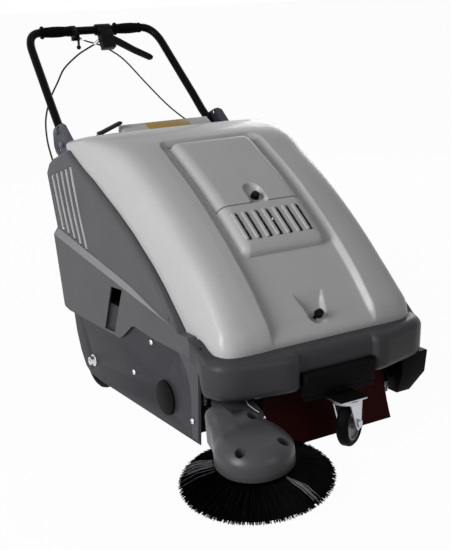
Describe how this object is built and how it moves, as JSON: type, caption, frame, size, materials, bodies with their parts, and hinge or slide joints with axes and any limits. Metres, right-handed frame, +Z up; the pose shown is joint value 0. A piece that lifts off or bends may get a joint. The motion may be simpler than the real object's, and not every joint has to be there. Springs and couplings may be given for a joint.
{
  "type": "walk-behind power brush sweeper",
  "caption": "Walk-behind power sweeper with a moulded hood and access lid, a cylindrical main brush, a lifting side brush, a pull-out hopper, a front caster and a U handle with levers.",
  "frame": {"origin": "on the floor under the middle of the machine's bounding box", "axes": "+Z up, -Y the way the machine drives, +Y to the handle, +X to the operator's left when seen from behind"},
  "size_m": [0.8078, 1.5697, 0.992],
  "materials": {
    "hood_shell": "glossy",
    "vent_insert": "satin",
    "dark_plastic": "satin",
    "slate_paint": "satin",
    "black_paint": "satin",
    "black_plastic": "satin",
    "grip_rubber": "matte",
    "cable_sheath": "satin",
    "plated_steel": "bright",
    "zinc_steel": "zinc plated",
    "hub_red": "glossy",
    "engine_alloy": "cast",
    "belt_rubber": "matte",
    "brush_core": "matte",
    "bristle": "matte",
    "hopper_plastic": "satin",
    "flap_rubber": "matte",
    "wheel_hub": "satin",
    "tyre": "matte"
  },
  "bodies": {
    "frame": {"switch_box": "hood_shell", "right_vent_bars": "vent_insert", "left_vent_bars": "vent_insert", "right_side_cover": "dark_plastic", "left_side_cover": "dark_plastic", "front_bumper": "dark_plastic", "bumper_block": "dark_plastic", "chassis_frame": "slate_paint", "right_side_plate": "slate_paint", "left_side_plate": "slate_paint", "rear_panel": "slate_paint", "right_bracket": "slate_paint", "left_bracket": "slate_paint", "handle_tube": "black_paint", "throttle_clamp": "black_plastic", "drive_clamp": "black_plastic", "axle_covers": "black_plastic", "right_grip": "grip_rubber", "left_grip": "grip_rubber", "drive_cable": "cable_sheath", "throttle_cable": "cable_sheath", "bracket_bolts": "plated_steel", "cable_ferrules": "plated_steel", "axle_nuts": "plated_steel", "stub_axles": "zinc_steel", "caster_plate": "zinc_steel", "arm_pivot_pin": "zinc_steel", "flap_strips": "zinc_steel", "brush_bearings": "zinc_steel", "latch_hub": "hub_red", "engine_block": "engine_alloy", "drive_belt": "belt_rubber", "front_flap": "flap_rubber"},
    "hood": {"hood": "hood_shell"},
    "hood_knob": {"hood_knob": "black_plastic"},
    "access_lid": {"access_lid": "hood_shell"},
    "lid_knob": {"lid_knob": "black_plastic"},
    "throttle_lever": {"throttle_lever": "black_plastic"},
    "drive_lever": {"drive_lever": "black_plastic"},
    "latch_lever": {"latch_lever": "zinc_steel"},
    "engine_pulley": {"engine_pulley": "zinc_steel"},
    "main_brush": {"main_brush_core": "brush_core", "main_brush_bristles": "bristle", "brush_pulley": "zinc_steel"},
    "hopper": {"hopper": "hopper_plastic", "hopper_handle": "black_plastic"},
    "right_wheel": {"right_wheel_hub": "wheel_hub", "right_tyre": "tyre"},
    "left_wheel": {"left_wheel_hub": "wheel_hub", "left_tyre": "tyre"},
    "caster_swivel": {"caster_fork": "zinc_steel", "caster_axle": "zinc_steel"},
    "caster_wheel": {"caster_hub": "wheel_hub", "caster_tyre": "tyre"},
    "side_brush_arm": {"side_brush_arm": "dark_plastic", "side_brush_cover": "dark_plastic", "cover_screws": "plated_steel", "lift_wire": "zinc_steel"},
    "side_brush": {"side_brush_disc": "black_plastic", "side_brush_bristles": "bristle"}
  },
  "joints": [
    {"name": "hood_hinge", "type": "hinge", "parent": "frame", "child": "hood", "pos_m": [0.07491, 0.34535, 0.688], "axis": [-1, 0, 0], "range_deg": [0, 55]},
    {"name": "hood_knob_turn", "type": "hinge", "parent": "hood", "child": "hood_knob", "pos_m": [0.07491, -0.44766, 0.326], "axis": [0, -0.766, 0.6428], "range_deg": [0, 90]},
    {"name": "lid_hinge", "type": "hinge", "parent": "hood", "child": "access_lid", "pos_m": [0.07491, 0.05255, 0.7053], "axis": [-1, 0, 0], "range_deg": [0, 75]},
    {"name": "lid_knob_turn", "type": "hinge", "parent": "access_lid", "child": "lid_knob", "pos_m": [0.07491, -0.17166, 0.577], "axis": [0, -0.5736, 0.8192], "range_deg": [0, 90]},
    {"name": "throttle_lever_swing", "type": "hinge", "parent": "frame", "child": "throttle_lever", "pos_m": [0.01791, 0.73735, 0.966], "axis": [-1, 0, 0], "range_deg": [0, 50]},
    {"name": "drive_lever_squeeze", "type": "hinge", "parent": "frame", "child": "drive_lever", "pos_m": [0.12691, 0.73935, 0.946], "axis": [0, -0.8942, 0.4478], "range_deg": [0, 18], "stiffness_Nm_per_rad": 0.6, "springref_deg": -11.46},
    {"name": "latch_lever_turn", "type": "hinge", "parent": "frame", "child": "latch_lever", "pos_m": [-0.09709, 0.37634, 0.69], "axis": [0, 0, 1], "range_deg": [-45, 45]},
    {"name": "main_brush_spin", "type": "hinge", "parent": "frame", "child": "main_brush", "pos_m": [0.07491, -0.21865, 0.104], "axis": [1, 0, 0], "continuous": true},
    {"name": "engine_pulley_spin", "type": "hinge", "parent": "frame", "child": "engine_pulley", "pos_m": [0.34291, -0.07566, 0.4], "axis": [1, 0, 0], "continuous": true},
    {"name": "hopper_slide", "type": "slide", "parent": "frame", "child": "hopper", "axis": [0, 1, 0], "range_m": [0, 0.43]},
    {"name": "right_wheel_spin", "type": "hinge", "parent": "frame", "child": "right_wheel", "pos_m": [-0.20909, 0.20234, 0.084], "axis": [1, 0, 0], "continuous": true},
    {"name": "left_wheel_spin", "type": "hinge", "parent": "frame", "child": "left_wheel", "pos_m": [0.35891, 0.20234, 0.084], "axis": [1, 0, 0], "continuous": true},
    {"name": "caster_swivel_turn", "type": "hinge", "parent": "frame", "child": "caster_swivel", "pos_m": [0.07691, -0.54365, 0.13], "axis": [0, 0, 1], "continuous": true},
    {"name": "caster_wheel_spin", "type": "hinge", "parent": "caster_swivel", "child": "caster_wheel", "pos_m": [0.09856, -0.53116, 0.059], "axis": [0.5, -0.866, 0], "continuous": true},
    {"name": "side_arm_lift", "type": "hinge", "parent": "frame", "child": "side_brush_arm", "pos_m": [-0.16529, -0.38556, 0.15377], "axis": [-0.9938, 0.0047, -0.1113], "range_deg": [0, 6]},
    {"name": "side_brush_spin", "type": "hinge", "parent": "side_brush_arm", "child": "side_brush", "pos_m": [-0.22509, -0.60566, 0.02619], "axis": [-0.1113, -0.0835, 0.9903], "continuous": true}
  ],
  "couplings": [
    {"joint": "engine_pulley_spin", "follows": "main_brush_spin", "ratio": 1.4286}
  ]
}
